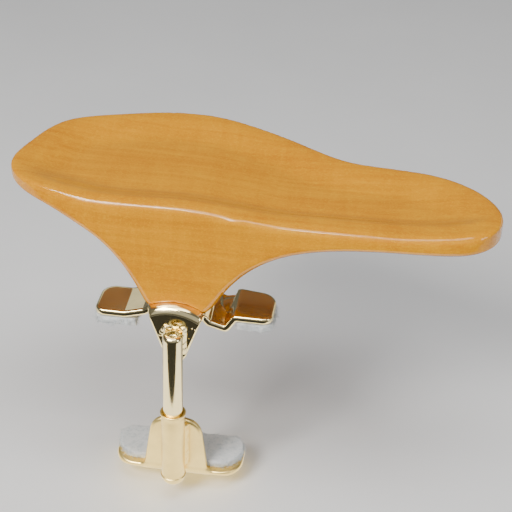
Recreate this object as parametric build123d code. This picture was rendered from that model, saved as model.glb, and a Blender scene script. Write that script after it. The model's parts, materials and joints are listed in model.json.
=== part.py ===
from build123d import *

import math
import os

# A side-clamped chin rest for a violin, tilt adjustable. Millimetres.
# x = 0 is the clamp screw's plane, y = 0 the outline of the violin's edge, z = 0 the violin's top.
# +X runs to the right as seen from the end button, +Y to the middle of the violin, +Z up.

# ---- the violin's edge that the clamp takes
EDGE_THICKNESS = 40.4          # violin's back to its top, at the clamp
SADDLE_STEP = 2.2              # the right-hand pad stands this much higher, over the saddle

# ---- pressed sheet brackets
SHEET = 1.8
FELT = 2.2
WING_FRONT = -0.3
WING_BACK = 11.4
HEEL_BACK = 13.6               # the right wing reaches further back beside the seat
LEFT_TIP = -20.9
RIGHT_TIP = 23.5
WING_CORNER = 3.6
WING_FRONT_CORNER = 2.6

# ---- the arched seat that the wooden plate tilts on; its axis runs along Y
SEAT_X = -0.8
SEAT_Z = -3.8
SEAT_R = 12.0
SEAT_LEFT = -8.8
SEAT_RIGHT = 8.6
SEAT_GAP = 0.06
LEFT_FOOT_X = -13.3            # where the left wing leaves the slope beside the arch
LEFT_FELT_END = -10.4
VALLEY_X = 12.3
VALLEY_Z = 2.8
STEP_X = 14.0                  # where the right wing's joggle reaches the top

# ---- apron, the tongue bent down in front of the seat
APRON_FACE = -2.9
APRON_TOP_HALF = 7.05
APRON_TIP_HALF = 2.4
APRON_TIP_Z = -6.6
APRON_BEND = 2.4

# ---- telescopic clamp: guide tube, sleeve, captive screw and its nut
CLAMP_Y = -5.4
GUIDE_R = 2.5
GUIDE_TOP = 2.6
GUIDE_END = -27.5
GUIDE_SHOULDER = 1.05          # rounding of the closed-in top
GUIDE_BORE_R = 1.6
KEY_HOLE_R = 1.4
SCREW_R = 1.5
SCREW_HEAD_R = 1.95
SCREW_HEAD = 3.0
SCREW_TIP = -40.0
HEX_KEY = 2.0                  # across flats
HEX_DEPTH = 1.6
FIT = 0.05                     # radial running clearance
THRUST_WASHER = 0.4
HEAD_SEAT_Z = -1.75            # shoulder inside the guide tube, under the washer
HEAD_PLAY = 0.2
SLEEVE_R = 3.0
SLEEVE_TOP = -21.0
SLEEVE_END = -41.0
RIM_R = 3.3
RIM_HEIGHT = 1.6
RIM_WALL = 0.3
NUT_TOP = -31.0
NUT_DOME_R = 3.3
NUT_BORE_END = -43.2
GUIDE_CHAMFER = 0.3
SCREW_EDGE = 0.3

# ---- brazing metal in the corners beside the two tubes
BRAZE_REACH = 1.5              # how far the bead stands forward of the sheet
BRAZE_TOE = 0.7                # its foot on the sheet, beyond the tube's side
BRAZE_SLIM = 0.6               # its front edge, inside the tube's side
GUIDE_BRAZE_Z = (-5.6, 3.5)
SLEEVE_BRAZE_Z = (-40.0, -27.0)

# ---- lower bracket
PLATE_FACE = -2.4
PLATE_TOP = -26.0
PLATE_TOP_HALF = 6.2
PLATE_FOOT_HALF = 8.7
PLATE_CORNER = 2.8
FOOT_HALF = 16.8
FOOT_BACK = 11.0
FOOT_CORNER = 7.4
FOOT_BEND = 1.9
LOWER_FELT = 2.0
FELT_SETBACK = 0.3
FELT_FRONT_CORNER = 6.5

# ---- carved wooden plate
POST_LEFT = -8.3
POST_RIGHT = 8.5
POST_BACK = 11.2
POST_FOOT_Z = 6.6
POST_LEFT_CORNER = 1.2         # bevels that keep the foot's corners clear of the bracket
POST_RIGHT_CORNER = 1.7
FLARE_LENGTH = 11.2            # distance over which the post spreads into the plate
FLARE_STEPS = 8
LEFT_REACH = 42.0              # how far each flare's curve is drawn
RIGHT_REACH = 72.0
BACK_REACH = 50.0
LEFT_RISE = 27.3
RIGHT_RISE = 22.0
BACK_RISE = 21.0
UNDERSIDE_SLOPE = 0.07
FRONT_FOOT_Y = -0.2
FRONT_RIM_Y = -1.0
RIM_HIGH = 35.4
RIM_DROP = 2.5                 # the rim's fall towards the tailpiece
RIM_DROP_X = (-2.0, 28.0)
RIM_TAIL_RISE = 1.2            # and its rise again towards the tip
RIM_TAIL_X = (48.0, 74.0)
RIM_SLOPE = 0.036              # the rim falls this much per millimetre towards the strings
DISH_DEPTH = 3.0
RIM_BAND = 11.0
RIM_SAMPLES = 300
DISH_X = (-50.0, 80.0)         # grid that the dished surface is drawn on
DISH_Y = (-6.0, 56.5)
DISH_STEP = 2.5
DISH_TOLERANCE = 0.02
BEYOND = 80.0                  # a height or depth that clears the whole plate
PLATE_OUTLINE = [              # anticlockwise from the left end of the straight front edge
    (-22.0, -0.6), (-4.0, -1.0), (18.0, -1.0), (40.0, -1.0), (57.0, -1.0), (66.5, 0.2),
    (73.2, 4.8), (75.8, 12.0), (72.8, 21.6), (63.0, 31.2), (50.2, 35.6), (37.4, 37.4),
    (23.6, 45.3), (9.7, 50.4), (-9.5, 52.4), (-24.8, 48.1), (-37.4, 41.4), (-43.0, 28.0),
    (-44.4, 15.0), (-38.6, 6.2), (-30.0, 2.0),
]

# ---- tilt lock: two screws from below, through slots in the seat
TILT_RANGE = 6.0               # degrees each way
TILT_SCREW_Y = (3.0, 8.2)
TILT_SCREW_R = 1.25
SLOT_PLAY = 0.15
TILT_HEAD_R = 2.35
TILT_HEAD = 1.5
TILT_KEY = 1.5
TILT_KEY_DEPTH = 1.0
TILT_SCREW_END = 16.1
LOCK_WASHER = 0.6
LOCK_WASHER_R = 2.2
LOCK_SPLIT = 0.5
BAR_HALF = 3.4
BAR_UNDERSIDE = 4.8
INSERT_R = 2.0
INSERT_Z = (9.2, 16.6)
BAR_SPAN_Y = (0.4, 10.8)


def cylinder_z(x, y, z_low, z_high, radius):
    return Pos(x, y, (z_low + z_high) / 2) * Cylinder(radius, z_high - z_low)


def cylinder_y(x, z, y_low, y_high, radius):
    return Pos(x, (y_low + y_high) / 2, z) * Rot(90, 0, 0) * Cylinder(radius, y_high - y_low)


def block(low, high):
    size = [b - a for a, b in zip(low, high)]
    return Pos(*[(a + b) / 2 for a, b in zip(low, high)]) * Box(*size)


def hex_socket(x, y, z_low, z_high, flats):
    sketch = RegularPolygon(flats / math.sqrt(3), 6)
    return extrude(Pos(x, y, z_low) * sketch, z_high - z_low)


def outline_z(points, z, amount, corners=()):
    """Polygon in plan, extruded upwards; corners holds (point number, radius)."""
    sketch = make_face(Polyline(*points, close=True))
    for number, radius in corners:
        x, y = points[number]
        sketch = fillet(sketch.vertices().sort_by_distance((x, y, 0))[0], radius)
    return extrude(Pos(0, 0, z) * sketch, amount)


def outline_y(points, y, amount):
    """Polygon in X and Z, extruded towards +Y from y."""
    wire = Polyline(*[(x, y, z) for x, z in points], close=True)
    return extrude(make_face(wire), amount, dir=(0, 1, 0))


def smoothstep(value):
    value = min(1.0, max(0.0, value))
    return value * value * (3 - 2 * value)


def share(value, span):
    """How far a value has come from the start of the span to its end."""
    return (value - span[0]) / (span[1] - span[0])


# ---- upper bracket

def seat_point(x, radius):
    """Point of an arch of this radius, on the ray from the seat's axis through the seat at x."""
    height = math.sqrt(SEAT_R**2 - (x - SEAT_X) ** 2)
    return SEAT_X + (x - SEAT_X) * radius / SEAT_R, SEAT_Z + height * radius / SEAT_R


def wing_strip(outline):
    """One side of the bracket beside the arch, from its top line down by one sheet thickness."""
    low = [(x, z - SHEET) for x, z in outline[1:]]
    inner = seat_point(outline[0][0], SEAT_R - SHEET)
    return outline_y(outline + low[::-1] + [inner], WING_FRONT, HEEL_BACK - WING_FRONT)


def wings():
    wing_z = FELT + SHEET
    step_z = wing_z + SADDLE_STEP
    left = wing_strip([seat_point(SEAT_LEFT, SEAT_R), (LEFT_FOOT_X, wing_z), (LEFT_TIP, wing_z)])
    right = wing_strip([
        seat_point(SEAT_RIGHT, SEAT_R), (VALLEY_X, VALLEY_Z), (STEP_X, step_z), (RIGHT_TIP, step_z),
    ])
    plan = [
        (LEFT_TIP, WING_FRONT), (RIGHT_TIP, WING_FRONT), (RIGHT_TIP, WING_BACK),
        (SEAT_RIGHT, HEEL_BACK), (SEAT_X, HEEL_BACK), (SEAT_X, WING_BACK), (LEFT_TIP, WING_BACK),
    ]
    corners = [(0, WING_FRONT_CORNER), (1, WING_FRONT_CORNER), (2, WING_CORNER), (6, WING_CORNER)]
    return (left + right) & outline_z(plan, -BEYOND / 2, BEYOND, corners)


def cupped_seat():
    """Arch and apron as one round cup about the seat's axis, its front corner bent to a radius."""
    inner = SEAT_R - SHEET
    back = APRON_FACE + SHEET
    bend_inside = APRON_BEND - SHEET
    bend = (SEAT_R - APRON_BEND, APRON_FACE + APRON_BEND)
    edges = [
        Polyline((0, back), (0, APRON_FACE), (bend[0], APRON_FACE)),
        CenterArc(bend, APRON_BEND, -90, 90),
        Polyline((SEAT_R, bend[1]), (SEAT_R, WING_BACK), (inner, WING_BACK), (inner, bend[1])),
        CenterArc(bend, bend_inside, -90, 90),
        Line((bend[0], back), (0, back)),
    ]
    cup = revolve(make_face(edges), Axis.Y)
    return Pos(SEAT_X, 0, SEAT_Z) * cup


def upper_bracket():
    cup = cupped_seat()
    arch = cup & block((SEAT_LEFT, WING_FRONT, 0), (SEAT_RIGHT, WING_BACK, SEAT_Z + SEAT_R))
    slope = (APRON_TOP_HALF - APRON_TIP_HALF) / (POST_FOOT_Z - APRON_TIP_Z)
    top_z = SEAT_Z + SEAT_R
    top_half = APRON_TIP_HALF + slope * (top_z - APRON_TIP_Z)
    apron = cup & outline_y([
        (-top_half, top_z), (-APRON_TIP_HALF, APRON_TIP_Z), (APRON_TIP_HALF, APRON_TIP_Z),
        (top_half, top_z),
    ], APRON_FACE, WING_FRONT - APRON_FACE)
    bracket = arch + apron + wings()
    slot_half_width = TILT_SCREW_R + SLOT_PLAY
    slot_half_length = slot_half_width + SEAT_R * math.radians(TILT_RANGE)
    slot = SlotOverall(2 * slot_half_length, 2 * slot_half_width)
    for y in TILT_SCREW_Y:
        bracket -= extrude(Pos(SEAT_X, y, 0) * slot, 2 * SEAT_R)
    return bracket


def felt_pad(left, right, z, outer):
    """Pad under one wing, with the wing's rounded corners at its outer end, left or right."""
    plan = [(left, WING_FRONT), (right, WING_FRONT), (right, WING_BACK), (left, WING_BACK)]
    front, back = (0, 3) if outer == left else (1, 2)
    return outline_z(plan, z, FELT, [(front, WING_FRONT_CORNER), (back, WING_CORNER)])


def upper_felt_left():
    return felt_pad(LEFT_TIP, LEFT_FELT_END, 0, outer=LEFT_TIP)


def upper_felt_right():
    return felt_pad(STEP_X + SHEET / 2, RIGHT_TIP, SADDLE_STEP, outer=RIGHT_TIP)


# ---- clamp: guide tube, screw, washer, sleeve, nut

def guide_tube():
    tube = cylinder_z(0, CLAMP_Y, GUIDE_END, GUIDE_TOP, GUIDE_R)
    tube = fillet(tube.edges().group_by(Axis.Z)[-1], GUIDE_SHOULDER)
    tube = chamfer(tube.edges().group_by(Axis.Z)[0], GUIDE_CHAMFER)
    chamber_top = HEAD_SEAT_Z + THRUST_WASHER + SCREW_HEAD + HEAD_PLAY
    tube -= cylinder_z(0, CLAMP_Y, GUIDE_END, HEAD_SEAT_Z, GUIDE_BORE_R)
    tube -= cylinder_z(0, CLAMP_Y, HEAD_SEAT_Z, chamber_top, SCREW_HEAD_R + FIT)
    tube -= cylinder_z(0, CLAMP_Y, chamber_top, GUIDE_TOP, KEY_HOLE_R)
    return tube


def braze_beads(face, tube_r, z_low, z_high):
    """Two beads that fill the corners between a tube and the sheet behind it."""
    toe = tube_r + BRAZE_TOE
    edge = tube_r - BRAZE_SLIM
    front = face - BRAZE_REACH
    points = [(-toe, face), (toe, face), (edge, front), (-edge, front)]
    beads = outline_z(points, z_low, z_high - z_low)
    return beads - cylinder_z(0, CLAMP_Y, z_low, z_high, tube_r)


def guide_braze():
    beads = braze_beads(APRON_FACE, GUIDE_R, *GUIDE_BRAZE_Z)
    apron = [
        (-APRON_TIP_HALF, APRON_TIP_Z), (APRON_TIP_HALF, APRON_TIP_Z), (APRON_TOP_HALF, POST_FOOT_Z),
        (-APRON_TOP_HALF, POST_FOOT_Z),
    ]
    return beads & outline_y(apron, CLAMP_Y, APRON_FACE - CLAMP_Y)


def sleeve_braze():
    return braze_beads(PLATE_FACE, SLEEVE_R, *SLEEVE_BRAZE_Z)


def thrust_washer():
    ring = cylinder_z(0, CLAMP_Y, HEAD_SEAT_Z, HEAD_SEAT_Z + THRUST_WASHER, SCREW_HEAD_R)
    return ring - cylinder_z(0, CLAMP_Y, HEAD_SEAT_Z, HEAD_SEAT_Z + THRUST_WASHER, SCREW_R + FIT)


def clamp_screw():
    seat = HEAD_SEAT_Z + THRUST_WASHER + FIT
    screw = cylinder_z(0, CLAMP_Y, seat, seat + SCREW_HEAD, SCREW_HEAD_R)
    screw = fillet(screw.edges().group_by(Axis.Z)[-1], SCREW_EDGE)
    shank = cylinder_z(0, CLAMP_Y, SCREW_TIP, seat, SCREW_R)
    screw += chamfer(shank.edges().group_by(Axis.Z)[0], SCREW_EDGE)
    return screw - hex_socket(0, CLAMP_Y, seat + SCREW_HEAD - HEX_DEPTH, seat + SCREW_HEAD, HEX_KEY)


def clamp_sleeve():
    """Drawn tube with a belled rim, brazed to the lower bracket."""
    inner = GUIDE_R + FIT
    rim_inner = RIM_R - RIM_WALL
    points = [
        (inner, SLEEVE_END), (SLEEVE_R, SLEEVE_END), (SLEEVE_R, SLEEVE_TOP - RIM_HEIGHT),
        (RIM_R, SLEEVE_TOP), (rim_inner, SLEEVE_TOP), (inner, SLEEVE_TOP - RIM_HEIGHT),
    ]
    face = make_face(Polyline(*[(r, 0, z) for r, z in points], close=True))
    return Pos(0, CLAMP_Y, 0) * revolve(face, Axis.Z)


def sleeve_end_nut():
    """Domed end plug whose long threaded barrel sits inside the sleeve."""
    barrel = cylinder_z(0, CLAMP_Y, SLEEVE_END, NUT_TOP, GUIDE_R + FIT)
    barrel = chamfer(barrel.edges().group_by(Axis.Z)[-1], GUIDE_CHAMFER)
    dome = Pos(0, CLAMP_Y, SLEEVE_END) * Sphere(NUT_DOME_R)
    # the dome ends at the sleeve above and is flat where it meets the bracket's plate
    low = SLEEVE_END - NUT_DOME_R
    dome &= block((-NUT_DOME_R, CLAMP_Y - NUT_DOME_R, low), (NUT_DOME_R, PLATE_FACE, SLEEVE_END))
    bore = cylinder_z(0, CLAMP_Y, NUT_BORE_END, NUT_TOP, SCREW_R + FIT)
    return barrel + dome - bore


# ---- lower bracket

def lower_bracket():
    foot_top = -EDGE_THICKNESS - LOWER_FELT
    foot_low = foot_top - SHEET
    slope = (PLATE_FOOT_HALF - PLATE_TOP_HALF) / (PLATE_TOP - foot_low)
    points = [
        (-PLATE_TOP_HALF, PLATE_TOP), (-PLATE_FOOT_HALF, foot_low), (PLATE_FOOT_HALF, foot_low),
        (PLATE_TOP_HALF, PLATE_TOP),
    ]
    plate = outline_y(points, PLATE_FACE, SHEET)
    top_corners = plate.edges().filter_by(Axis.Y).group_by(Axis.Z)[-1]
    plate = fillet(top_corners, PLATE_CORNER)
    plan = [
        (-FOOT_HALF, PLATE_FACE), (FOOT_HALF, PLATE_FACE), (FOOT_HALF, FOOT_BACK), (-FOOT_HALF, FOOT_BACK),
    ]
    corners = [(0, FOOT_CORNER), (1, FOOT_CORNER), (2, WING_CORNER), (3, WING_CORNER)]
    foot = outline_z(plan, foot_low, SHEET, corners)
    bracket = plate + foot
    heel = bracket.edges().filter_by(Axis.X).group_by(Axis.Z)[0].group_by(Axis.Y)[0]
    return fillet(heel, FOOT_BEND)


def lower_felt():
    front = PLATE_FACE + SHEET + FELT_SETBACK
    half = FOOT_HALF - FELT_SETBACK
    plan = [(-half, front), (half, front), (half, FOOT_BACK), (-half, FOOT_BACK)]
    corners = [(0, FELT_FRONT_CORNER), (1, FELT_FRONT_CORNER), (2, WING_CORNER), (3, WING_CORNER)]
    return outline_z(plan, -EDGE_THICKNESS - LOWER_FELT, LOWER_FELT, corners)


# ---- wooden plate

def plate_outline():
    return Spline(*PLATE_OUTLINE, periodic=True)


def rim_height(x, y):
    """Height of the plate's rim: highest over the post, lower where it crosses the tailpiece."""
    drop = RIM_DROP * smoothstep(share(x, RIM_DROP_X))
    rise = RIM_TAIL_RISE * smoothstep(share(x, RIM_TAIL_X))
    return RIM_HIGH - drop + rise - RIM_SLOPE * max(0, y)


def flare(distance, rise):
    """Height above the post's foot of the curve that spreads the post into the plate."""
    return rise * (1 - math.exp(-distance / FLARE_LENGTH))


def flare_points(rise, length):
    steps = [length * (i / FLARE_STEPS) ** 1.5 for i in range(FLARE_STEPS + 1)]
    return [(distance, POST_FOOT_Z + flare(distance, rise)) for distance in steps]


def front_silhouette():
    """Everything above the post's two side flares, swept back from the front face."""
    y = FRONT_RIM_Y - 1

    def at(points):
        return [(x, y, z) for x, z in points]

    left = at([(POST_LEFT - d, z) for d, z in flare_points(LEFT_RISE, LEFT_REACH)])
    right = at([(POST_RIGHT + d, z) for d, z in flare_points(RIGHT_RISE, RIGHT_REACH)])
    left_corner = (POST_LEFT + POST_LEFT_CORNER, POST_FOOT_Z - POST_LEFT_CORNER)
    right_corner = (POST_RIGHT - POST_RIGHT_CORNER, POST_FOOT_Z - POST_RIGHT_CORNER)
    low = at([left_corner, (left_corner[0], 0), (right_corner[0], 0), right_corner])
    high = at([(right[-1][0], BEYOND), (left[-1][0], BEYOND)])
    edges = [
        Spline(*left), Polyline(left[0], *low, right[0]), Spline(*right),
        Polyline(right[-1], *high, left[-1]),
    ]
    sweep = Vector(0, 1, -UNDERSIDE_SLOPE).normalized()
    return extrude(make_face(edges), BEYOND, dir=sweep)


def side_silhouette():
    """Everything above the post's back flare and behind the leaning front face."""
    x = -BEYOND
    back = [(x, POST_BACK + d, z) for d, z in flare_points(BACK_RISE, BACK_REACH)]
    lean = (FRONT_RIM_Y - FRONT_FOOT_Y) / (RIM_HIGH - POST_FOOT_Z)
    top_y = FRONT_FOOT_Y + lean * (BEYOND - POST_FOOT_Z)
    edges = [
        Spline(*back),
        Polyline(back[-1], (x, back[-1][1], BEYOND), (x, top_y, BEYOND), (x, FRONT_FOOT_Y, POST_FOOT_Z),
                 (x, FRONT_FOOT_Y, 0), (x, POST_BACK, 0), back[0]),
    ]
    return extrude(make_face(edges), 2 * BEYOND, dir=(1, 0, 0))


def grid_line(span):
    count = round((span[1] - span[0]) / DISH_STEP)
    return [span[0] + DISH_STEP * i for i in range(count + 1)]


def space_above():
    """What the dished top leaves free: a smooth surface from the rim's height and the dish."""
    outline = plate_outline()
    plan = make_face(outline)
    rim = [outline @ (i / RIM_SAMPLES) for i in range(RIM_SAMPLES)]

    def height(x, y):
        inwards = min(math.hypot(x - p.X, y - p.Y) for p in rim)
        if not plan.is_inside((x, y, 0)):
            inwards = 0
        return rim_height(x, y) - DISH_DEPTH * smoothstep(inwards / RIM_BAND)

    rows = [[(x, y, height(x, y)) for y in grid_line(DISH_Y)] for x in grid_line(DISH_X)]
    surface = Face.make_surface_from_array_of_points(rows, tol=DISH_TOLERANCE)
    return extrude(surface, BEYOND, dir=(0, 0, 1))


def chin_plate():
    plate = extrude(make_face(plate_outline()), BEYOND)
    plate = plate & front_silhouette() & side_silhouette()
    plate -= space_above()
    plate -= cylinder_y(SEAT_X, SEAT_Z, -BEYOND, BEYOND, SEAT_R + SEAT_GAP)
    for y in TILT_SCREW_Y:
        plate -= cylinder_z(SEAT_X, y, 0, INSERT_Z[0], TILT_SCREW_R + SLOT_PLAY)
        plate -= cylinder_z(SEAT_X, y, INSERT_Z[0], INSERT_Z[1], INSERT_R)
    return plate


# ---- tilt lock

def threaded_insert(y):
    sleeve = cylinder_z(SEAT_X, y, *INSERT_Z, INSERT_R)
    return sleeve - cylinder_z(SEAT_X, y, *INSERT_Z, TILT_SCREW_R + FIT)


def tilt_clamp_bar():
    """Bar under the seat, curved on top to slide along the arch's inner face."""
    front, back = BAR_SPAN_Y
    bar = cylinder_y(SEAT_X, SEAT_Z, front, back, SEAT_R - SHEET - SEAT_GAP)
    bar &= block((SEAT_X - BAR_HALF, front, BAR_UNDERSIDE), (SEAT_X + BAR_HALF, back, SEAT_R))
    for y in TILT_SCREW_Y:
        bar -= cylinder_z(SEAT_X, y, 0, SEAT_R, TILT_SCREW_R + SLOT_PLAY)
    return bar


def lock_washer(y):
    top = BAR_UNDERSIDE
    ring = cylinder_z(SEAT_X, y, top - LOCK_WASHER, top, LOCK_WASHER_R)
    ring -= cylinder_z(SEAT_X, y, top - LOCK_WASHER, top, TILT_SCREW_R + SLOT_PLAY)
    half = LOCK_SPLIT / 2
    return ring - block((SEAT_X, y - half, 0), (SEAT_X + SEAT_R, y + half, top))


def tilt_screw(y):
    under_head = BAR_UNDERSIDE - LOCK_WASHER - FIT
    low = under_head - TILT_HEAD
    head = cylinder_z(SEAT_X, y, low, under_head, TILT_HEAD_R)
    head = fillet(head.edges().group_by(Axis.Z)[0], TILT_HEAD / 2)
    screw = head + cylinder_z(SEAT_X, y, under_head, TILT_SCREW_END, TILT_SCREW_R)
    return screw - hex_socket(SEAT_X, y, low, low + TILT_KEY_DEPTH, TILT_KEY)


def main():
    os.makedirs("parts", exist_ok=True)
    front_y, rear_y = TILT_SCREW_Y
    parts = {
        "chin_plate": chin_plate(),
        "insert_front": threaded_insert(front_y),
        "insert_rear": threaded_insert(rear_y),
        "upper_bracket": upper_bracket(),
        "upper_felt_left": upper_felt_left(),
        "upper_felt_right": upper_felt_right(),
        "tilt_clamp_bar": tilt_clamp_bar(),
        "lock_washer_front": lock_washer(front_y),
        "lock_washer_rear": lock_washer(rear_y),
        "tilt_screw_front": tilt_screw(front_y),
        "tilt_screw_rear": tilt_screw(rear_y),
        "guide_tube": guide_tube(),
        "guide_braze": guide_braze(),
        "thrust_washer": thrust_washer(),
        "clamp_screw": clamp_screw(),
        "clamp_sleeve": clamp_sleeve(),
        "sleeve_end_nut": sleeve_end_nut(),
        "sleeve_braze": sleeve_braze(),
        "lower_bracket": lower_bracket(),
        "lower_felt": lower_felt(),
    }
    for name, shape in parts.items():
        export_step(shape, f"parts/{name}.step")


main()
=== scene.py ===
import json
import math
import random

import bmesh
import bpy
import numpy as np
from mathutils import Matrix, Vector, noise


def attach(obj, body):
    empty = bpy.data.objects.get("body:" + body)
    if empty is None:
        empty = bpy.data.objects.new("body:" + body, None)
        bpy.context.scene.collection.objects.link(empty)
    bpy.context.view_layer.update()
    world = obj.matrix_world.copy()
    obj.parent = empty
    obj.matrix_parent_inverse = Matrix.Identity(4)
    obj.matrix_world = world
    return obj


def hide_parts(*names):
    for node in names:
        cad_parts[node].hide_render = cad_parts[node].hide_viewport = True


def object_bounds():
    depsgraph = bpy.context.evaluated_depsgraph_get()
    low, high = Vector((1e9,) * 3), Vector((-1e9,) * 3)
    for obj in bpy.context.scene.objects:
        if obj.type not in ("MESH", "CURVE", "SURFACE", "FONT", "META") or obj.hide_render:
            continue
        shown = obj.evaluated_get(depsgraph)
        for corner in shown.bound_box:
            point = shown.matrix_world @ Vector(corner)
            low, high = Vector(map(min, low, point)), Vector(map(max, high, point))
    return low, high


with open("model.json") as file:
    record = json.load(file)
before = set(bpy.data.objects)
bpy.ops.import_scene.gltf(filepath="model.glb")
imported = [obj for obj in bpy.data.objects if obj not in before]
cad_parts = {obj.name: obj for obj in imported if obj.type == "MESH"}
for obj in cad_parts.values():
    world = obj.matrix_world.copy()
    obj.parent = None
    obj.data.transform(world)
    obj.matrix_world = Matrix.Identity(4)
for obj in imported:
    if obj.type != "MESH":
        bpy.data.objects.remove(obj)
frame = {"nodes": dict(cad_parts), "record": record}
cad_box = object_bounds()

# A violin chin rest: lacquered boxwood plate, pale gold brackets and clamp, frayed felt pads.
# Lengths are millimetres in the CAD's frame; MM turns them into Blender's metres.
MM = 0.001
RECORD = frame["record"]
BODY_OF = {node: body for body, nodes in RECORD["behaviour"]["bodies"].items() for node in nodes}
SLOT_OF = {part["node"]: part["material_slot"] for part in RECORD["subparts"]}


# ---- shader helpers

def new_material(name):
    """A material with one Principled shader; returns the material, its node tree and the shader."""
    material = bpy.data.materials.new(name)
    material.use_nodes = True
    tree = material.node_tree
    tree.nodes.clear()
    output = tree.nodes.new("ShaderNodeOutputMaterial")
    shader = tree.nodes.new("ShaderNodeBsdfPrincipled")
    tree.links.new(shader.outputs["BSDF"], output.inputs["Surface"])
    return material, tree, shader


def place(tree, scale):
    """Object coordinates in millimetres, multiplied by scale = (x, y, z)."""
    coords = tree.nodes.new("ShaderNodeTexCoord")
    mapping = tree.nodes.new("ShaderNodeMapping")
    mapping.inputs["Scale"].default_value = [s / MM for s in scale]
    tree.links.new(coords.outputs["Object"], mapping.inputs["Vector"])
    return mapping.outputs["Vector"]


def noise_tex(tree, vector, detail=3.0, roughness=0.5, distortion=0.0):
    node = tree.nodes.new("ShaderNodeTexNoise")
    node.inputs["Scale"].default_value = 1.0
    node.inputs["Detail"].default_value = detail
    node.inputs["Roughness"].default_value = roughness
    node.inputs["Distortion"].default_value = distortion
    tree.links.new(vector, node.inputs["Vector"])
    return node.outputs["Fac"]


def ramp(tree, value, stops):
    """Colour ramp; each stop is (position, grey number or (r, g, b))."""
    node = tree.nodes.new("ShaderNodeValToRGB")
    band = node.color_ramp
    while len(band.elements) < len(stops):
        band.elements.new(0.5)
    for element, (position, colour) in zip(band.elements, stops):
        element.position = position
        rgb = (colour,) * 3 if isinstance(colour, (int, float)) else colour
        element.color = (*rgb, 1.0)
    tree.links.new(value, node.inputs["Fac"])
    return node.outputs["Color"]


def mix(tree, mode, amount, a, b):
    """Colour a mixed with colour b, which may be a constant; amount is a number or a socket."""
    node = tree.nodes.new("ShaderNodeMix")
    node.data_type = "RGBA"
    node.blend_type = mode
    if isinstance(amount, (int, float)):
        node.inputs["Factor"].default_value = amount
    else:
        tree.links.new(amount, node.inputs["Factor"])
    tree.links.new(a, node.inputs["A"])
    if isinstance(b, tuple):
        node.inputs["B"].default_value = (*b, 1.0)
    else:
        tree.links.new(b, node.inputs["B"])
    return node.outputs["Result"]


def bump(tree, height, distance, strength, below=None):
    """Normals tilted by the height, over another bump's normals where below is given."""
    node = tree.nodes.new("ShaderNodeBump")
    node.inputs["Strength"].default_value = strength
    node.inputs["Distance"].default_value = distance * MM
    tree.links.new(height, node.inputs["Height"])
    if below is not None:
        tree.links.new(below, node.inputs["Normal"])
    return node.outputs["Normal"]


def spread(tree, value, low, high):
    """Maps a value from 0..1 to low..high."""
    node = tree.nodes.new("ShaderNodeMapRange")
    node.inputs["To Min"].default_value = low
    node.inputs["To Max"].default_value = high
    tree.links.new(value, node.inputs["Value"])
    return node.outputs["Result"]


def facing(tree, axis, low, high):
    """0 where the surface normal's part along the axis is at most low, 1 where it is at least high."""
    geometry = tree.nodes.new("ShaderNodeNewGeometry")
    split = tree.nodes.new("ShaderNodeSeparateXYZ")
    tree.links.new(geometry.outputs["Normal"], split.inputs["Vector"])
    span = tree.nodes.new("ShaderNodeMapRange")
    span.inputs["From Min"].default_value = low
    span.inputs["From Max"].default_value = high
    tree.links.new(split.outputs[axis], span.inputs["Value"])
    return span.outputs["Result"]


# ---- materials

def wood_colour(tree, flecks, pores):
    """Honey yellow: streaks along X, soft clouds, brown flecks and pale pores."""
    streaks = noise_tex(tree, place(tree, (0.030, 0.55, 0.55)), detail=4.0, roughness=0.6, distortion=0.5)
    colour = ramp(tree, streaks, [
        (0.30, (0.74, 0.278, 0.0)), (0.50, (0.83, 0.335, 0.0)), (0.70, (0.91, 0.390, 0.0)),
    ])
    clouds = noise_tex(tree, place(tree, (0.035, 0.09, 0.09)), detail=2.0)
    cloud_shade = ramp(tree, clouds, [(0.35, (0.90, 0.82, 0.70)), (0.62, 1.0)])
    colour = mix(tree, "MULTIPLY", 0.6, colour, cloud_shade)
    figure = noise_tex(tree, place(tree, (0.34, 0.05, 0.05)), detail=2.0, distortion=0.3)
    figure_shade = ramp(tree, figure, [(0.40, (0.90, 0.84, 0.76)), (0.58, 1.0)])
    colour = mix(tree, "MULTIPLY", 0.5, colour, figure_shade)
    fleck_share = ramp(tree, flecks, [(0.54, 0.0), (0.74, 0.55)])
    colour = mix(tree, "MIX", fleck_share, colour, (0.64, 0.185, 0.001))
    pore_share = ramp(tree, pores, [(0.34, 0.55), (0.50, 0.0)])
    return mix(tree, "MIX", pore_share, colour, (0.96, 0.50, 0.006))


def boxwood():
    """Boxwood under lacquer, with pinkish end grain at the right end and painted shade darkening the
    underside.
    """
    material, tree, shader = new_material("boxwood_lacquered")
    flecks = noise_tex(tree, place(tree, (0.8, 2.6, 2.6)), detail=3.0, roughness=0.7)
    pores = noise_tex(tree, place(tree, (1.7, 2.4, 2.4)), detail=3.0, roughness=0.75)
    colour = wood_colour(tree, flecks, pores)
    end_pores = noise_tex(tree, place(tree, (1.1, 1.1, 1.1)), detail=4.0, roughness=0.8)
    ends = ramp(tree, end_pores, [(0.38, (0.60, 0.24, 0.03)), (0.60, (0.90, 0.52, 0.24))])
    colour = mix(tree, "MIX", facing(tree, "X", 0.74, 1.02), colour, ends)
    # painted shade: faces turned downwards are darkened, standing in for the shadow under the plate
    below = ramp(tree, facing(tree, "Z", -0.95, -0.30), [(0.0, (0.30, 0.24, 0.16)), (1.0, 1.0)])
    tree.links.new(mix(tree, "MULTIPLY", 1.0, colour, below), shader.inputs["Base Color"])
    handling = noise_tex(tree, place(tree, (0.25, 0.5, 0.5)), detail=3.0)
    tree.links.new(spread(tree, handling, 0.40, 0.58), shader.inputs["Roughness"])
    shader.inputs["Specular IOR Level"].default_value = 0.0
    shader.inputs["Coat Weight"].default_value = 1.0
    shader.inputs["Coat Roughness"].default_value = 0.12
    grain = bump(tree, flecks, 0.03, 0.4)
    tree.links.new(bump(tree, pores, 0.03, 0.35, below=grain), shader.inputs["Normal"])
    return material


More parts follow.
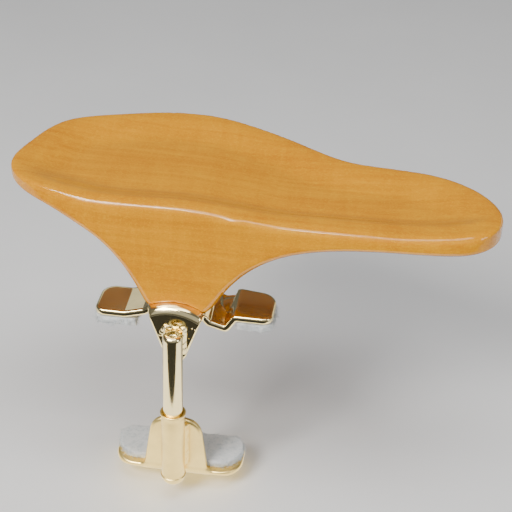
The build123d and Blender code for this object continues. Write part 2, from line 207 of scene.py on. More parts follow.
def plated(name, colour, rough_low, rough_high, texture):
    """Pale gold plating; roughness varies with handling, over a faint drawn texture."""
    material, tree, shader = new_material(name)
    shader.inputs["Metallic"].default_value = 1.0
    smudge = noise_tex(tree, place(tree, (0.16, 0.16, 0.16)), detail=4.0, roughness=0.6)
    darker = tuple(0.88 * c for c in colour)
    tree.links.new(ramp(tree, smudge, [(0.32, darker), (0.60, colour)]), shader.inputs["Base Color"])
    tree.links.new(spread(tree, smudge, rough_high, rough_low), shader.inputs["Roughness"])
    waves = noise_tex(tree, place(tree, (0.5, 0.5, 0.5)), detail=2.0)
    hairlines = noise_tex(tree, place(tree, (2.5, 2.5, 5.0)), detail=4.0, roughness=0.75)
    surface = bump(tree, hairlines, 0.006, texture, below=bump(tree, waves, 0.05, texture))
    tree.links.new(surface, shader.inputs["Normal"])
    return material


def steel():
    """Nickelled screw steel with faint turning marks."""
    material, tree, shader = new_material("nickel_steel")
    shader.inputs["Metallic"].default_value = 1.0
    turning = noise_tex(tree, place(tree, (1.2, 1.2, 6.0)), detail=2.0)
    tint = ramp(tree, turning, [(0.3, (0.60, 0.54, 0.38)), (0.7, (0.78, 0.71, 0.52))])
    tree.links.new(tint, shader.inputs["Base Color"])
    tree.links.new(spread(tree, turning, 0.18, 0.34), shader.inputs["Roughness"])
    tree.links.new(bump(tree, turning, 0.01, 0.5), shader.inputs["Normal"])
    return material


def felt():
    """Pale wool felt, clumped and fuzzy."""
    material, tree, shader = new_material("wool_felt")
    clumps = noise_tex(tree, place(tree, (0.9, 0.9, 0.9)), detail=5.0, roughness=0.7)
    tint = ramp(tree, clumps, [(0.30, (0.60, 0.65, 0.67)), (0.50, (0.84, 0.87, 0.87)), (0.72, 0.95)])
    tree.links.new(tint, shader.inputs["Base Color"])
    shader.inputs["Roughness"].default_value = 0.95
    shader.inputs["Sheen Weight"].default_value = 0.35
    shader.inputs["Sheen Roughness"].default_value = 0.5
    shader.inputs["Specular IOR Level"].default_value = 0.2
    fuzz = noise_tex(tree, place(tree, (4.0, 4.0, 2.5)), detail=5.0, roughness=0.8)
    tree.links.new(bump(tree, fuzz, 0.22, 1.0), shader.inputs["Normal"])
    return material


def floor_paper():
    """Plain pale paper."""
    material, tree, shader = new_material("floor_paper")
    speckle = noise_tex(tree, place(tree, (0.02, 0.02, 0.02)), detail=4.0)
    tree.links.new(ramp(tree, speckle, [(0.3, 0.91), (0.7, 0.94)]), shader.inputs["Base Color"])
    shader.inputs["Roughness"].default_value = 0.9
    shader.inputs["Specular IOR Level"].default_value = 0.1
    return material


FINISH = {
    "boxwood": boxwood(),
    "polished_gold": plated("gold_polished", (0.95, 0.80, 0.42), 0.06, 0.13, 0.12),
    "satin_gold": plated("gold_satin", (0.95, 0.72, 0.26), 0.30, 0.40, 0.5),
    "insert_brass": plated("brass_turned", (0.78, 0.52, 0.18), 0.25, 0.40, 0.4),
    "screw_steel": steel(),
    "felt": felt(),
}


# ---- objects and meshes

def add_object(name, mesh, material):
    """A smooth-shaded object in the scene, of one material."""
    piece = bpy.data.objects.new(name, mesh)
    bpy.context.scene.collection.objects.link(piece)
    mesh.materials.clear()
    mesh.materials.append(material)
    mesh.polygons.foreach_set("use_smooth", [True] * len(mesh.polygons))
    return piece


def mesh_from(name, points, faces):
    """A mesh from points in millimetres."""
    mesh = bpy.data.meshes.new(name)
    mesh.from_pydata([tuple(c * MM for c in p) for p in points], [], faces)
    mesh.update()
    return mesh


MERGE_DISTANCE = 1e-4          # closes the seam where a turned profile meets itself
SHARP_ANGLE = 38


def edges_sharpened(mesh):
    """Marks the edges where two faces meet at a sharp angle, so that they shade crisply."""
    shape = bmesh.new()
    shape.from_mesh(mesh)
    bmesh.ops.remove_doubles(shape, verts=shape.verts, dist=MERGE_DISTANCE * MM)
    bmesh.ops.recalc_face_normals(shape, faces=shape.faces)
    for edge in shape.edges:
        edge.smooth = edge.calc_face_angle(0) < math.radians(SHARP_ANGLE)
    shape.to_mesh(mesh)
    shape.free()
    return mesh


def finished(node, mesh):
    """Puts the mesh in the node's place: same body, same slot, same finish."""
    piece = add_object(node + "_finished", mesh, FINISH[SLOT_OF[node]])
    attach(piece, BODY_OF[node])
    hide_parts(node)
    return piece


def with_modifiers(mesh, *changes):
    """The mesh after modifiers; each change is (type, {setting: value})."""
    piece = bpy.data.objects.new("workpiece", mesh)
    bpy.context.scene.collection.objects.link(piece)
    for kind, settings in changes:
        modifier = piece.modifiers.new(kind.lower(), kind)
        for setting, value in settings.items():
            setattr(modifier, setting, value)
    graph = bpy.context.evaluated_depsgraph_get()
    result = bpy.data.meshes.new_from_object(piece.evaluated_get(graph))
    bpy.data.objects.remove(piece)
    return result


def remeshed(mesh, voxel):
    """The mesh rebuilt in even quads about one voxel wide."""
    return with_modifiers(mesh, ("REMESH", {"mode": "VOXEL", "voxel_size": voxel * MM}))


def cad_mesh(node):
    return frame["nodes"][node].data.copy()


def points_of(mesh):
    flat = np.zeros(len(mesh.vertices) * 3)
    mesh.vertices.foreach_get("co", flat)
    return flat.reshape(-1, 3) / MM


def normals_of(mesh):
    flat = np.zeros(len(mesh.vertices) * 3)
    mesh.vertices.foreach_get("normal", flat)
    return flat.reshape(-1, 3)


def move_points(mesh, points):
    mesh.vertices.foreach_set("co", (points * MM).ravel())
    mesh.update()


def relaxed(mesh, points, share):
    """Each point moved part of the way to the middle of its neighbours."""
    edges = np.zeros(len(mesh.edges) * 2, dtype=np.int64)
    mesh.edges.foreach_get("vertices", edges)
    a, b = edges.reshape(-1, 2).T
    size = len(points)
    count = np.bincount(np.concatenate([a, b]), minlength=size)[:, None]
    total = np.zeros_like(points)
    for axis in range(3):
        total[:, axis] = np.bincount(a, points[b, axis], size) + np.bincount(b, points[a, axis], size)
    return points + share * (total / count - points)


# ---- shapes given as fields: negative inside, zero on the surface, about a distance in mm

def smooth_max(a, b, radius):
    """The larger of two fields, blended where they differ by less than the radius."""
    overlap = np.maximum(radius - np.abs(a - b), 0)
    return np.maximum(a, b) + overlap**2 / (4 * radius)


def smooth_min(a, b, radius):
    return -smooth_max(-a, -b, radius)


def smoothstep(value):
    """0 below 0, 1 above 1, and an eased rise between."""
    value = np.clip(value, 0, 1)
    return value * value * (3 - 2 * value)


def slope_of(field, points):
    """The field's gradient at each point, by central differences."""
    nudge = 0.02
    return np.stack([
        (field(*(points + nudge * axis).T) - field(*(points - nudge * axis).T)) / (2 * nudge)
        for axis in np.eye(3)
    ], axis=1)


RELAXING_ROUNDS = 6
CLOSING_ROUNDS = 3             # these move the points onto the surface without relaxing them
LONGEST_STEP = 0.8
LEAST_STEEPNESS = 0.15         # keeps a step short where blends make the field flat


def settled(mesh, field):
    """The mesh with its points relaxed and brought onto the field's zero surface."""
    points = points_of(mesh)
    for turn in range(RELAXING_ROUNDS + CLOSING_ROUNDS):
        if turn < RELAXING_ROUNDS:
            points = relaxed(mesh, points, 0.5)
        slope = slope_of(field, points)
        steepness = np.maximum((slope**2).sum(1), LEAST_STEEPNESS)
        step = -field(*points.T) / steepness
        points += np.clip(step, -LONGEST_STEP, LONGEST_STEP)[:, None] * slope
    move_points(mesh, points)
    return mesh


def even_curve(points, spacing, closed):
    """Points at an even spacing along the line through the given points."""
    points = np.array(points, float)
    if closed:
        points = np.vstack([points, points[:1]])
    lengths = np.concatenate([[0], np.cumsum(np.linalg.norm(np.diff(points, axis=0), axis=1))])
    at = np.linspace(0, lengths[-1], int(lengths[-1] / spacing) + 1, endpoint=not closed)
    return np.stack([np.interp(at, lengths, points[:, k]) for k in (0, 1)], axis=1)


def distance_from(curve, closed, margin, step=0.4, spacing=0.12):
    """Function (u, v) -> distance left of a smooth curve in a plane, read from a fine grid."""
    line = even_curve(curve, spacing, closed)
    ahead = np.roll(line, -1, 0) - np.roll(line, 1, 0)
    if not closed:
        ahead[0], ahead[-1] = line[1] - line[0], line[-1] - line[-2]
    ahead /= np.linalg.norm(ahead, axis=1)[:, None]
    low = line.min(0) - margin
    us = np.arange(low[0], line[:, 0].max() + margin, step)
    vs = np.arange(low[1], line[:, 1].max() + margin, step)
    grid = np.zeros((len(vs), len(us)))
    for row, v in enumerate(vs):
        nearest = ((us[:, None] - line[:, 0]) ** 2 + (v - line[:, 1]) ** 2).argmin(1)
        du, dv = us - line[nearest, 0], v - line[nearest, 1]
        along = du * ahead[nearest, 0] + dv * ahead[nearest, 1]
        across = dv * ahead[nearest, 0] - du * ahead[nearest, 1]
        beyond = np.maximum(np.abs(along) - spacing, 0)
        grid[row] = np.where(across < 0, -1, 1) * np.hypot(across, beyond)

    def lookup(u, v):
        i = np.clip((u - low[0]) / step, 0, len(us) - 1.001)
        j = np.clip((v - low[1]) / step, 0, len(vs) - 1.001)
        i0, j0 = i.astype(int), j.astype(int)
        fi, fj = i - i0, j - j0
        near = grid[j0, i0] * (1 - fi) + grid[j0, i0 + 1] * fi
        far = grid[j0 + 1, i0] * (1 - fi) + grid[j0 + 1, i0 + 1] * fi
        return near * (1 - fj) + far * fj

    return lookup


def closed_spline(points, per_span=24):
    """Periodic cubic spline through the points, on chord lengths."""
    p = np.array(points, float)
    n = len(p)
    after = np.linalg.norm(np.roll(p, -1, 0) - p, axis=1)
    system = np.zeros((n, n))
    rhs = np.zeros((n, 2))
    for i in range(n):
        system[i, i - 1] += after[i - 1]
        system[i, i] += 2 * (after[i - 1] + after[i])
        system[i, (i + 1) % n] += after[i]
        rhs[i] = 6 * ((p[(i + 1) % n] - p[i]) / after[i] - (p[i] - p[i - 1]) / after[i - 1])
    bend = np.linalg.solve(system, rhs)
    spans = []
    for i in range(n):
        j, h = (i + 1) % n, after[i]
        t = np.linspace(0, h, per_span, endpoint=False)[:, None]
        s = h - t
        spans.append((bend[i] * s**3 + bend[j] * t**3) / (6 * h)
                     + (p[i] / h - bend[i] * h / 6) * s + (p[j] / h - bend[j] * h / 6) * t)
    return np.concatenate(spans)


def bent_line(points, radius, count=7):
    """The open line through the points, each inner corner turned on a bend of this radius."""
    p = [np.array(q, float) for q in points]
    line = [p[0]]
    for before, corner, after in zip(p, p[1:], p[2:]):
        back, ahead = before - corner, after - corner
        lengths = np.linalg.norm(back), np.linalg.norm(ahead)
        back, ahead = back / lengths[0], ahead / lengths[1]
        half = math.acos(float(np.clip(back @ ahead, -1, 1))) / 2
        reach = min(radius / math.tan(half), 0.48 * min(lengths))
        for t in np.linspace(0, 1, count):
            line.append(corner + (1 - t) ** 2 * reach * back + t**2 * reach * ahead)
    return line + [p[-1]]


def rounded_box(u, v, low, high, radius):
    """Signed distance of a rectangle with rounded corners."""
    du = np.abs(u - (low[0] + high[0]) / 2) - (high[0] - low[0]) / 2 + radius
    dv = np.abs(v - (low[1] + high[1]) / 2) - (high[1] - low[1]) / 2 + radius
    return np.hypot(np.maximum(du, 0), np.maximum(dv, 0)) + np.minimum(np.maximum(du, dv), 0) - radius


# ---- the wooden plate

PLATE_OUTLINE = [              # anticlockwise in plan, as in the CAD
    (-22.0, -0.6), (-4.0, -1.0), (18.0, -1.0), (40.0, -1.0), (57.0, -1.0), (66.5, 0.2),
    (73.2, 4.8), (75.8, 12.0), (72.8, 21.6), (63.0, 31.2), (50.2, 35.6), (37.4, 37.4),
    (23.6, 45.3), (9.7, 50.4), (-9.5, 52.4), (-24.8, 48.1), (-37.4, 41.4), (-43.0, 28.0),
    (-44.4, 15.0), (-38.6, 6.2), (-30.0, 2.0),
]
SEAT = (-0.8, -3.8)            # axis of the arched seat, in X and Z
SEAT_R = 12.0
SEAT_GAP = 0.06
POST_LEFT, POST_RIGHT, POST_BACK = -8.3, 8.5, 11.2
POST_FOOT = 6.6
FLARE = 11.2                   # distance over which a flare fades out
LEFT_RISE, RIGHT_RISE, BACK_RISE = 27.3, 22.0, 21.0
LEFT_CORNER, RIGHT_CORNER = 1.2, 1.7
UNDERSIDE_SLOPE = 0.07
FRONT_FOOT_Y = -0.2
FRONT_LEAN = 0.0278            # the front face leans out as it rises
FRONT_FILLET, BACK_FILLET = 3.0, 5.0
TILT_SCREW_Y = (3.0, 8.2)
POST_CORE = (8.4, 17.0, 2.3)   # z from, z to and radius, as for the two holes
SCREW_HOLE = (6.0, 9.2, 1.4)
INSERT_HOLE = (9.1, 16.6, 2.0)
KNOT = (14.0, -0.8, 32.6)      # a small wrinkled bump on the front of the rim
KNOT_REACH = (2.2, 2.0, 1.3)
KNOT_HEIGHT = 0.30


def rim_height(x, y):
    """Height of the rim: high at the left, falling past the post, rising again to the right tip."""
    front = 35.4 - 2.5 * smoothstep((x + 2) / 30) + 1.2 * smoothstep((x - 48) / 26)
    return front - 0.036 * np.maximum(0, y)


def plate_top(x, y, z, deep):
    """Negative under the dished top; deep is the evened distance in from the outline."""
    band = 3.0 + 4.5 * smoothstep((x + 30) / 100)
    depth = 2.3 - 0.6 * smoothstep((x - 20) / 40)
    near_front = smoothstep((14 - y) / 10)
    crest = band * near_front + 0.8 * (1 - near_front)
    return z - rim_height(x, y) + depth * smoothstep((deep - crest) / (13 - 3.5 * near_front))


def flare_field(distance, rise, drop, z):
    """Negative above a flare that spreads the post into the plate."""
    fade = np.exp(-np.clip(distance, -6, 90) / FLARE)
    height = POST_FOOT + rise * (1 - fade) - drop
    return (height - z) / np.hypot(1, rise / FLARE * fade)


def plate_underside(x, y, z):
    """Negative above the three flares and the bevels on the foot's two lower corners."""
    left, right = POST_LEFT - x, x - POST_RIGHT
    drop = UNDERSIDE_SLOPE * (y + 2)
    low = smooth_max(flare_field(left, LEFT_RISE, drop, z), flare_field(right, RIGHT_RISE, drop, z), 1.0)
    low = smooth_max(low, flare_field(y - POST_BACK, BACK_RISE, 0, z), BACK_FILLET)
    for across, corner in ((left, LEFT_CORNER), (right, RIGHT_CORNER)):
        bevel = POST_FOOT + np.minimum(across, 0) - z
        low = smooth_max(low, np.maximum(bevel, -corner - 1) / math.sqrt(2), 0.5)
    return low


def plate_field():
    """The whole plate; its right tip is rounder underneath, and its front edge rounder than its back."""
    inside = distance_from(closed_spline(PLATE_OUTLINE), closed=True, margin=6.0)
    turns = np.radians(range(0, 360, 45))
    around = [(reach * math.cos(a), reach * math.sin(a)) for reach in (1.5, 3.0, 4.2) for a in turns]

    def field(x, y, z):
        inwards = inside(x, y)
        deep = sum(inside(x + dx, y + dy) for dx, dy in around) / len(around)
        face = FRONT_FOOT_Y - FRONT_LEAN * (z - POST_FOOT) - y
        body = smooth_max(plate_underside(x, y, z), face, FRONT_FILLET)
        tip = smoothstep((x - 50) / 18)
        body = smooth_max(body, -inwards - 0.55 * tip, 1.1 + 2.7 * tip)
        rim = 0.8 + 1.6 * smoothstep((7 - y) / 7) * smoothstep((x + 45) / 9)
        body = smooth_max(body, plate_top(x, y, z, deep), rim)
        seat = SEAT_R + SEAT_GAP - np.hypot(x - SEAT[0], z - SEAT[1])
        body = smooth_max(body, seat, 0.35)
        offsets = [(at - middle) / reach for at, middle, reach in zip((x, y, z), KNOT, KNOT_REACH)]
        return body - KNOT_HEIGHT * np.exp(-sum(offset**2 for offset in offsets))

    return field


def cylinder_mesh(x, y, z_low, z_high, radius, segments=48):
    """An upright cylinder."""
    shape = bmesh.new()
    bmesh.ops.create_cone(
        shape, cap_ends=True, segments=segments, radius1=radius * MM, radius2=radius * MM,
        depth=(z_high - z_low) * MM,
        matrix=Matrix.Translation(Vector((x, y, (z_low + z_high) / 2)) * MM),
    )
    mesh = bpy.data.meshes.new("cylinder")
    shape.to_mesh(mesh)
    shape.free()
    return mesh


def joined(*meshes):
    """All the meshes' faces in one mesh."""
    shape = bmesh.new()
    for mesh in meshes:
        shape.from_mesh(mesh)
    result = bpy.data.meshes.new("joined")
    shape.to_mesh(result)
    shape.free()
    return result


def drilled(mesh, cutter_mesh):
    """The mesh with the cutter's volume taken away."""
    cutter = bpy.data.objects.new("cutter", cutter_mesh)
    bpy.context.scene.collection.objects.link(cutter)
    settings = {"operation": "DIFFERENCE", "object": cutter, "solver": "EXACT"}
    result = with_modifiers(mesh, ("BOOLEAN", settings))
    bpy.data.objects.remove(cutter)
    return result


def chin_plate():
    """The carved plate and post; its post is filled before carving and drilled again after it."""
    post_cores = [cylinder_mesh(SEAT[0], y, *POST_CORE) for y in TILT_SCREW_Y]
    mesh = remeshed(joined(cad_mesh("chin_plate"), *post_cores), 0.55)
    mesh = settled(mesh, plate_field())
    for hole in (SCREW_HOLE, INSERT_HOLE):
        for y in TILT_SCREW_Y:
            mesh = drilled(mesh, cylinder_mesh(SEAT[0], y, *hole))
    return finished("chin_plate", mesh)


# ---- pressed brackets

SHEET = 1.8
HALF = SHEET / 2
LEFT_TIP, RIGHT_TIP = -20.9, 23.5
WING_FRONT, WING_BACK = -0.3, 11.4
WING_FRONT_CORNER, WING_BACK_CORNER = 2.6, 3.8
LEFT_WING_Z, RIGHT_WING_Z = 3.1, 5.3              # middle of the sheet
LEFT_FOOT_X, STEP_X = -13.1, 14.3
ARCH_LEFT, ARCH_RIGHT = -8.7, 8.6
FRONT_VALLEY, BACK_VALLEY = (12.1, 1.9), (12.0, 4.4)    # X and Z; the valley twists between them
HEEL_DEPTH, HEEL_TAPER = 2.2, 0.148               # extra depth behind the valley, fading to the tip
SLOT_REACH, SLOT_R = 1.26, 1.4
APRON_Y = -2.0                                    # middle of the sheet
APRON_BEND_R = 1.5
APRON_LOW = -6.6
APRON_HALF = 2.4                                  # half its width at the bottom
APRON_SLANT = (7.05 - APRON_HALF) / 13.2


def wing_line(valley):
    """Middle of the pressed strip in X and Z: left wing, arch, valley and right wing."""
    arch_r = SEAT_R - HALF
    leans = [(x - SEAT[0]) / SEAT_R for x in np.linspace(ARCH_LEFT, ARCH_RIGHT, 60)]
    arch = [(SEAT[0] + arch_r * lean, SEAT[1] + arch_r * math.sqrt(1 - lean**2)) for lean in leans]
    left_wing = [(-25.0, LEFT_WING_Z), (LEFT_FOOT_X, LEFT_WING_Z)]
    right_wing = [valley, (STEP_X, RIGHT_WING_Z), (28.0, RIGHT_WING_Z)]
    left = bent_line(left_wing + [arch[0], arch[4]], 1.6)
    right = bent_line([arch[-4], arch[-1]] + right_wing, 0.9)
    return left[:-1] + arch[4:-4] + right


def apron_field(x, y, z):
    """The tapered tongue that bends down from the arch's front edge."""
    r = np.hypot(x - SEAT[0], z - SEAT[1])
    bend_r, bend_y = SEAT_R - HALF - APRON_BEND_R, APRON_Y + APRON_BEND_R
    to_sheet = np.abs(y - APRON_Y)
    to_bend = np.abs(np.hypot(np.maximum(r - bend_r, 0), np.minimum(y - bend_y, 0)) - APRON_BEND_R)
    to_cup = np.where((r < bend_r) & (y < bend_y), to_sheet, to_bend)
    to_arch = np.minimum(np.abs(r - (SEAT_R - HALF)), to_sheet)
    cup = np.where(y >= bend_y, to_arch, to_cup) - HALF
    sides = (np.abs(x) - APRON_HALF - APRON_SLANT * (z - APRON_LOW)) / math.hypot(1, APRON_SLANT)
    apron = smooth_max(smooth_max(sides, APRON_LOW - z, 1.2), cup, 0.7)
    return np.maximum(apron, y - 0.6)


def upper_bracket_field():
    front_line, back_line = [
        distance_from(wing_line(valley), closed=False, margin=12.0, step=0.25)
        for valley in (FRONT_VALLEY, BACK_VALLEY)
    ]

    def field(x, y, z):
        twist = smoothstep((y - 0.5) / 12)
        strip = np.abs((1 - twist) * front_line(x, z) + twist * back_line(x, z)) - HALF
        heel = smoothstep((x - 7.6) / 1.6) * (HEEL_DEPTH - HEEL_TAPER * (x - ARCH_RIGHT))
        span = WING_BACK - WING_FRONT
        depth = WING_FRONT + (y - WING_FRONT) * span / (span + heel)
        corner = np.where(y > 5.5, WING_BACK_CORNER, WING_FRONT_CORNER)
        plan = rounded_box(x, depth, (LEFT_TIP, WING_FRONT), (RIGHT_TIP, WING_BACK), corner)
        strip = smooth_max(strip, plan, 0.8)
        along = np.maximum(np.abs(x - SEAT[0]) - SLOT_REACH, 0)
        for slot_y in TILT_SCREW_Y:
            strip = smooth_max(strip, SLOT_R - np.hypot(along, y - slot_y), 0.25)
        return smooth_min(strip, apron_field(x, y, z), 0.6)

    return field


def upper_bracket():
    """Pressed wings, arched seat and apron."""
    mesh = remeshed(cad_mesh("upper_bracket"), 0.25)
    return finished("upper_bracket", settled(mesh, upper_bracket_field()))


JAW_FACE_Y = -2.4
JAW_TOP, JAW_FOOT = -26.0, -44.2
JAW_HALF_TOP, JAW_HALF_FOOT = 6.2, 8.7
FOOT_HALF, FOOT_BACK = 16.8, 11.0
FOOT_FRONT_CORNER, FOOT_BACK_CORNER = 6.4, 3.6


def lower_bracket_field(x, y, z):
    """Tapered upright plate and rounded foot, joined by a bend along the heel."""
    plate = np.abs(y - JAW_FACE_Y - HALF) - HALF
    slant = (JAW_HALF_FOOT - JAW_HALF_TOP) / (JAW_TOP - JAW_FOOT)
    sides = (np.abs(x) - JAW_HALF_TOP - slant * (JAW_TOP - z)) / math.hypot(1, slant)
    outline = smooth_max(smooth_max(sides, z - JAW_TOP, 4.6), JAW_FOOT - z, 0.5)
    plate = smooth_max(plate, outline, 0.8)
    foot = np.abs(z - JAW_FOOT - HALF) - HALF
    corner = np.where(y < 4, FOOT_FRONT_CORNER, FOOT_BACK_CORNER)
    plan = rounded_box(x, y, (-FOOT_HALF, JAW_FACE_Y), (FOOT_HALF, FOOT_BACK), corner)
    foot = smooth_max(foot, plan, 1.0)
    both = smooth_min(plate, foot, 1.4)
    heel = (JAW_FACE_Y + 0.45 - y + JAW_FOOT + 0.45 - z) / math.sqrt(2)
    return smooth_max(both, heel, 1.2)


def lower_bracket():
    """The lower jaw's pressing."""
    mesh = remeshed(cad_mesh("lower_bracket"), 0.28)
    return finished("lower_bracket", settled(mesh, lower_bracket_field))


# ---- turned parts of the clamp

CLAMP_Y = -5.4


def turned(rings, segments=96):
    """Closed mesh from rings (radius or function of angle, z); the first and last are closed."""
    points, faces = [], []
    angles = [2 * math.pi * k / segments for k in range(segments)]
    for radius, z in rings:
        for angle in angles:
            r = radius(angle) if callable(radius) else radius
            points.append((r * math.cos(angle), CLAMP_Y + r * math.sin(angle), z))
    for ring in range(len(rings) - 1):
        for k in range(segments):
            a, b = ring * segments + k, ring * segments + (k + 1) % segments
            faces.append((a, b, b + segments, a + segments))
    return points, faces


def arc(centre, radius, start, end, count=8):
    """Points of an arc in (radius, z), angles in degrees."""
    angles = np.radians(np.linspace(start, end, count))
    return [(centre[0] + radius * math.cos(a), centre[1] + radius * math.sin(a)) for a in angles]


def turned_part(node, rings):
    """A node made on the lathe, from rings that run round its section."""
    return finished(node, edges_sharpened(mesh_from(node, *turned(rings))))


TUBE_R, TUBE_BORE_R = 2.5, 1.6
TUBE_LOW = -27.5
SHOULDER_R, SHOULDER_Z = 1.05, 1.55
KEY_HOLE_R = 1.4
CHAMBER_R, CHAMBER_LOW, CHAMBER_HIGH = 2.0, -1.75, 1.85     # holds the screw's head


def guide_tube():
    """Upright tube with a closed-in, rounded top that keeps the screw in."""
    rings = [(KEY_HOLE_R, 2.45), (KEY_HOLE_R + 0.02, 2.55)]
    rings += arc((TUBE_R - SHOULDER_R, SHOULDER_Z), SHOULDER_R, 90, 0, 16)
    rings += [(TUBE_R, 1.4), (TUBE_R, TUBE_LOW + 0.5), (TUBE_R, TUBE_LOW + 0.35)]
    rings += [(TUBE_R - 0.05, TUBE_LOW + 0.1), (TUBE_R - 0.3, TUBE_LOW), (TUBE_BORE_R, TUBE_LOW)]
    rings += [(TUBE_BORE_R, CHAMBER_LOW), (CHAMBER_R, CHAMBER_LOW), (CHAMBER_R, CHAMBER_HIGH)]
    rings += [(KEY_HOLE_R, CHAMBER_HIGH)]
    return turned_part("guide_tube", rings + rings[:1])


SLEEVE_R, SLEEVE_BORE_R = 3.0, 2.55
SLEEVE_LOW = -41.0


def clamp_sleeve():
    """Sleeve with a belled rim at its top."""
    rings = [(SLEEVE_BORE_R, SLEEVE_LOW), (SLEEVE_R, SLEEVE_LOW), (SLEEVE_R, -23.1), (SLEEVE_R, -22.9)]
    rings += [(3.02, -22.5), (3.10, -22.1), (3.24, -21.7)]
    rings += arc((3.10, -21.25), 0.2, -10, 150, 9)
    rings += [(2.75, -21.2), (2.6, -21.4), (SLEEVE_BORE_R, -22.0)]
    return turned_part("clamp_sleeve", rings + rings[:1])


BARREL_R, BARREL_BORE_R, BARREL_TOP = 2.5, 1.55, -31.0
DOME_R, DOME_Z = 3.24, -41.05
DOME_BACK_Y = -2.42            # the dome is flat there, where the bracket's plate passes


def sleeve_end_nut():
    """Threaded barrel and the dome that closes the sleeve."""
    rings = [(BARREL_BORE_R, -43.2), (BARREL_BORE_R, BARREL_TOP), (2.35, BARREL_TOP), (BARREL_R, -31.2)]
    rings += [(BARREL_R, -40.95), (3.02, -40.95), (3.02, DOME_Z)]
    rings += arc((0, DOME_Z), DOME_R, -4, -89, 22) + [(0.02, -44.29), (0.02, -43.2)]
    points, faces = turned(rings + rings[:1])
    points = [(x, min(y, DOME_BACK_Y), z) if z < -40.9 else (x, y, z) for x, y, z in points]
    return finished("sleeve_end_nut", edges_sharpened(mesh_from("sleeve_end_nut", points, faces)))


SOCKET_HALF = 1.0              # half the socket's width across its flats
HEAD_R, HEAD_TOP, HEAD_SEAT = 1.95, 1.7, -1.3
STEM_R, STEM_LOW = 1.5, -40.0


def clamp_screw():
    """Captive screw; its socket shows through the hole in the tube's top."""
    def hexagon(angle):
        return SOCKET_HALF / math.cos((angle % (math.pi / 3)) - math.pi / 6)

    rings = [(0.01, 0.0), (hexagon, 0.1), (hexagon, HEAD_TOP - 0.08), (1.28, HEAD_TOP)]
    rings += arc((HEAD_R - 0.3, HEAD_TOP - 0.3), 0.3, 88, 0, 7)
    rings += [(HEAD_R, HEAD_SEAT), (STEM_R, HEAD_SEAT), (STEM_R, STEM_LOW + 0.3), (1.2, STEM_LOW)]
    rings += [(0.01, STEM_LOW)]
    return turned_part("clamp_screw", rings)


GUIDE_DROPS = [                # x, y, z and radius of the drops and lumps above the tube's bead
    (-2.6, -3.0, 2.4, 0.75), (-1.7, -2.9, 2.9, 0.6), (-3.3, -2.9, 1.5, 0.6), (-3.6, -2.8, 0.4, 0.45),
    (-0.8, -2.9, 2.8, 0.45), (1.6, -2.9, 2.9, 0.55), (2.5, -2.9, 2.9, 0.5), (2.4, -3.0, 2.0, 0.5),
    (4.4, -2.95, 3.2, 0.26), (5.1, -2.9, 2.8, 0.22), (4.5, -2.95, 0.3, 0.24), (3.6, -2.95, 0.0, 0.18),
]


def braze(node, lump, drops=()):
    """A bead of brazing metal with its drops, soft and lumpy as it froze."""
    mesh = cad_mesh(node)
    shape = bmesh.new()
    shape.from_mesh(mesh)
    for x, y, z, radius in drops:
        place_at = Matrix.Translation(Vector((x, y, z)) * MM)
        bmesh.ops.create_icosphere(shape, subdivisions=3, radius=radius * MM, matrix=place_at)
    shape.to_mesh(mesh)
    shape.free()
    mesh = remeshed(mesh, 0.16)
    points = points_of(mesh)
    for _ in range(5):
        points = relaxed(mesh, points, 0.6)
    move_points(mesh, points)
    sway = np.array([noise.noise(Vector(p) * 0.9) + 0.3 * noise.noise(Vector(p) * 2.2) for p in points])
    move_points(mesh, points + normals_of(mesh) * (lump * (0.3 + sway))[:, None])
    return finished(node, mesh)


# ---- felt

FIBRE_JOINTS = 4


def fibre(points, faces, start, direction, length, radius, curl):
    """A curved strand, three-sided and closed at both ends, added to points and faces."""
    first = len(points)
    across = direction.orthogonal().normalized()
    upright = direction.cross(across).normalized()
    middle = Vector(start)
    for joint in range(FIBRE_JOINTS):
        thin = radius * (1 - 0.22 * joint)
        for k in range(3):
            turn = 2 * math.pi * k / 3
            points.append(middle + thin * (math.cos(turn) * across + math.sin(turn) * upright))
        direction = (direction + curl).normalized()
        middle = middle + direction * (length / FIBRE_JOINTS)
    faces.append((first + 2, first + 1, first))
    for joint in range(FIBRE_JOINTS - 1):
        a = first + 3 * joint
        for k in range(3):
            b = (k + 1) % 3
            faces.append((a + k, a + b, a + 3 + b, a + 3 + k))
    last = first + 3 * (FIBRE_JOINTS - 1)
    faces.append((last, last + 1, last + 2))


def felt_pad(node, seed, strands=900):
    """A pressed pad with an uneven edge and loose fibres round it."""
    rng = random.Random(seed)
    mesh = remeshed(cad_mesh(node), 0.4)
    points = points_of(mesh)
    for _ in range(3):
        points = relaxed(mesh, points, 0.5)
    move_points(mesh, points)
    normals = normals_of(mesh)
    sway = np.array([noise.noise(Vector(p) * 0.55) + 0.6 * noise.noise(Vector(p) * 1.7) for p in points])
    sideways = 1 - np.abs(normals[:, 2])
    points = points + normals * (sway * (0.05 + 0.45 * sideways))[:, None]
    move_points(mesh, points)
    strand_points, strand_faces = [], []
    edge = [i for i in range(len(points)) if sideways[i] > 0.35]
    for _ in range(strands):
        i = rng.choice(edge)
        out = Vector(normals[i])
        out.z *= 0.5
        side = Vector((rng.gauss(0, 0.7), rng.gauss(0, 0.7), rng.gauss(0, 0.45)))
        direction = (out.normalized() + side).normalized()
        curl = Vector((rng.gauss(0, 0.35), rng.gauss(0, 0.35), rng.gauss(-0.05, 0.25)))
        length = rng.uniform(0.5, 1.2) if rng.random() < 0.8 else rng.uniform(1.2, 2.1)
        radius = rng.uniform(0.045, 0.09)
        root = Vector(points[i]) - 0.1 * out
        fibre(strand_points, strand_faces, root, direction, length, radius, curl)
    whole = joined(mesh, mesh_from("strands", strand_points, strand_faces))
    pad = finished(node, whole)
    return pad


